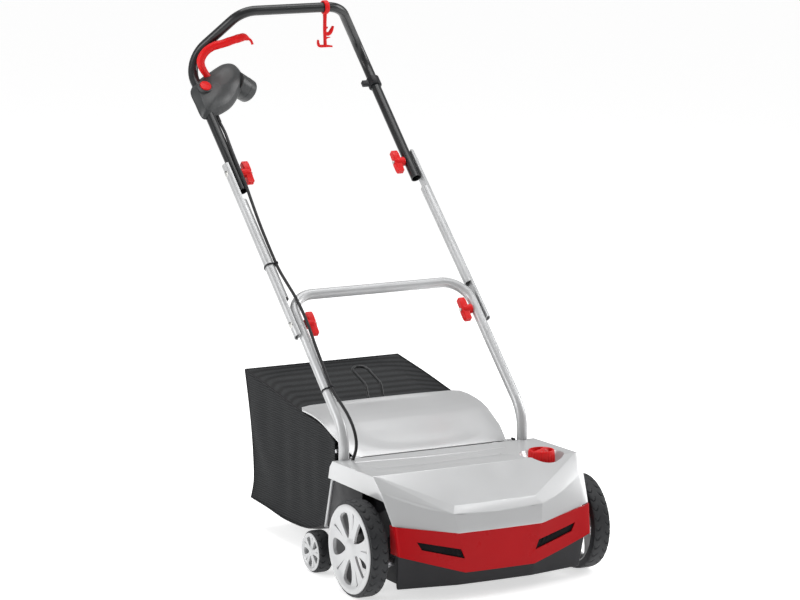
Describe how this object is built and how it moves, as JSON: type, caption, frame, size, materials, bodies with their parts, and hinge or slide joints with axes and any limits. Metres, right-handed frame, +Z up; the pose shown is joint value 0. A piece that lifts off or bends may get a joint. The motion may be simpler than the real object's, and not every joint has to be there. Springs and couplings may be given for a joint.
{
  "type": "lawn dethatcher",
  "caption": "Walk-behind electric lawn dethatcher with faceted hood, tined reel, depth knob, folding tube handle, safety switch and rear catcher bag",
  "frame": {"origin": "middle of the bounding box, on the ground", "axes": "+X to the machine's left as it is pushed (the viewer's right from the front), -Y the front, +Z up"},
  "size_m": [0.562, 1.037, 1.1261],
  "materials": {
    "tyre": "matt soft tread",
    "rim_silver": "satin silver moulded",
    "hood_silver": "light silver grey, semi gloss",
    "bumper_red": "deep red gloss",
    "red_plastic": "bright red semi gloss",
    "dark_plastic": "fine grained",
    "switch_grey": "fine grained",
    "silver_paint": "silver powder coat",
    "black_paint": "black powder coat",
    "steel": "bright",
    "zinc": "zinc plated",
    "brass": "bright",
    "belt_rubber": "matt",
    "lead_rubber": "satin",
    "bag_fabric": "woven"
  },
  "bodies": {
    "root": {"chassis": "dark_plastic", "front_skirt": "dark_plastic", "front_bumper": "bumper_red", "vent_screens": "dark_plastic", "hood": "hood_silver", "knob_collar": "hood_silver", "side_cover_left": "dark_plastic", "side_cover_right": "dark_plastic", "rear_strut_left": "silver_paint", "rear_strut_right": "silver_paint", "flap_pins": "steel", "motor_housing": "dark_plastic", "drive_belt": "belt_rubber", "belt_cover": "dark_plastic", "reel_bearings": "steel", "rear_axles": "steel", "lower_frame": "silver_paint", "leg_bolts": "zinc", "lead_clip_lower": "dark_plastic", "bag_rest_rod": "steel"},
    "front_axle": {"front_axle_carrier": "steel"},
    "front_wheel_left": {"front_rim_left": "rim_silver", "front_tyre_left": "tyre"},
    "front_wheel_right": {"front_rim_right": "rim_silver", "front_tyre_right": "tyre"},
    "rear_wheel_left": {"rear_rim_left": "rim_silver", "rear_tyre_left": "tyre"},
    "rear_wheel_right": {"rear_rim_right": "rim_silver", "rear_tyre_right": "tyre"},
    "reel": {"reel_shaft": "steel", "reel_blades": "steel", "reel_spacers": "dark_plastic", "reel_pulley": "dark_plastic"},
    "rotor": {"motor_rotor": "steel", "motor_pulley": "dark_plastic"},
    "knob": {"depth_knob": "red_plastic", "depth_spindle": "steel"},
    "flap": {"flap": "hood_silver"},
    "bag": {"bag_fabric": "bag_fabric", "bag_frame": "black_paint", "bag_handle": "black_paint"},
    "middle_handle": {"middle_tube_left": "silver_paint", "middle_tube_right": "silver_paint", "pivot_bolts": "zinc", "lead_clip_middle": "dark_plastic", "power_lead": "lead_rubber"},
    "upper_handle": {"upper_handle": "black_paint", "switch_box_front": "switch_grey", "switch_box_rear": "switch_grey", "inlet_shroud": "switch_grey", "inlet_pins": "brass", "lead_gland": "lead_rubber", "tube_clip": "dark_plastic"},
    "lower_nut_left": {"lower_wing_nut_left": "red_plastic"},
    "lower_nut_right": {"lower_wing_nut_right": "red_plastic"},
    "upper_nut_left": {"upper_wing_nut_left": "red_plastic"},
    "upper_nut_right": {"upper_wing_nut_right": "red_plastic"},
    "trigger": {"switch_trigger": "red_plastic"},
    "button": {"lock_button": "red_plastic"},
    "hook": {"cord_hook": "red_plastic"}
  },
  "joints": [
    {"name": "depth_slide", "type": "slide", "parent": "root", "child": "front_axle", "axis": [0, 0, 1], "range_m": [0, 0.024]},
    {"name": "depth_knob_turn", "type": "hinge", "parent": "root", "child": "knob", "pos_m": [0.168, -0.38705, 0.23], "axis": [0, 0, 1], "range_deg": [0, 240]},
    {"name": "front_wheel_left_spin", "type": "hinge", "parent": "front_axle", "child": "front_wheel_left", "pos_m": [-0.259, -0.38705, 0.1], "axis": [1, 0, 0], "continuous": true},
    {"name": "front_wheel_right_spin", "type": "hinge", "parent": "front_axle", "child": "front_wheel_right", "pos_m": [0.259, -0.38705, 0.1], "axis": [1, 0, 0], "continuous": true},
    {"name": "rear_wheel_left_spin", "type": "hinge", "parent": "root", "child": "rear_wheel_left", "pos_m": [-0.243, -0.17205, 0.045], "axis": [1, 0, 0], "continuous": true},
    {"name": "rear_wheel_right_spin", "type": "hinge", "parent": "root", "child": "rear_wheel_right", "pos_m": [0.243, -0.17205, 0.045], "axis": [1, 0, 0], "continuous": true},
    {"name": "reel_spin", "type": "hinge", "parent": "root", "child": "reel", "pos_m": [0, -0.34205, 0.096], "axis": [1, 0, 0], "continuous": true},
    {"name": "rotor_spin", "type": "hinge", "parent": "root", "child": "rotor", "pos_m": [0, -0.44205, 0.162], "axis": [1, 0, 0], "continuous": true},
    {"name": "flap_hinge", "type": "hinge", "parent": "root", "child": "flap", "pos_m": [0, -0.22105, 0.243], "axis": [-1, 0, 0], "range_deg": [-70, 0]},
    {"name": "bag_pull", "type": "slide", "parent": "root", "child": "bag", "axis": [0, 1, 0], "range_m": [0, 0.42]},
    {"name": "lower_fold", "type": "hinge", "parent": "root", "child": "middle_handle", "pos_m": [0, -0.02905, 0.4962], "axis": [1, 0, 0], "range_deg": [0, 120], "deforming": ["power_lead"]},
    {"name": "upper_fold", "type": "hinge", "parent": "middle_handle", "child": "upper_handle", "pos_m": [0, 0.27895, 0.777], "axis": [1, 0, 0], "range_deg": [0, 150], "deforming": ["power_lead"]},
    {"name": "lower_nut_left_turn", "type": "hinge", "parent": "middle_handle", "child": "lower_nut_left", "pos_m": [-0.19, -0.02905, 0.4962], "axis": [1, 0, 0], "continuous": true},
    {"name": "lower_nut_right_turn", "type": "hinge", "parent": "middle_handle", "child": "lower_nut_right", "pos_m": [0.19, -0.02905, 0.4962], "axis": [1, 0, 0], "continuous": true},
    {"name": "upper_nut_left_turn", "type": "hinge", "parent": "middle_handle", "child": "upper_nut_left", "pos_m": [-0.19, 0.27895, 0.777], "axis": [1, 0, 0], "continuous": true},
    {"name": "upper_nut_right_turn", "type": "hinge", "parent": "middle_handle", "child": "upper_nut_right", "pos_m": [0.19, 0.27895, 0.777], "axis": [1, 0, 0], "continuous": true},
    {"name": "trigger_pull", "type": "hinge", "parent": "upper_handle", "child": "trigger", "pos_m": [-0.18, 0.46422, 0.95673], "axis": [-0.8525, -0.4907, 0.1799], "range_deg": [0, 3], "stiffness_Nm_per_rad": 4, "springref_deg": -5.73},
    {"name": "button_press", "type": "slide", "parent": "upper_handle", "child": "button", "axis": [0, 0.6737, -0.739], "range_m": [0, 0.0035], "stiffness_N_per_m": 800, "springref_m": -0.002},
    {"name": "hook_swing", "type": "hinge", "parent": "upper_handle", "child": "hook", "pos_m": [0.082, 0.42995, 1.1106], "axis": [1, 0, 0], "range_deg": [-35, 35]}
  ],
  "couplings": [
    {"joint": "rotor_spin", "follows": "reel_spin", "ratio": 2.4},
    {"joint": "depth_knob_turn", "follows": "depth_slide", "rad_per_m": 174.53}
  ]
}
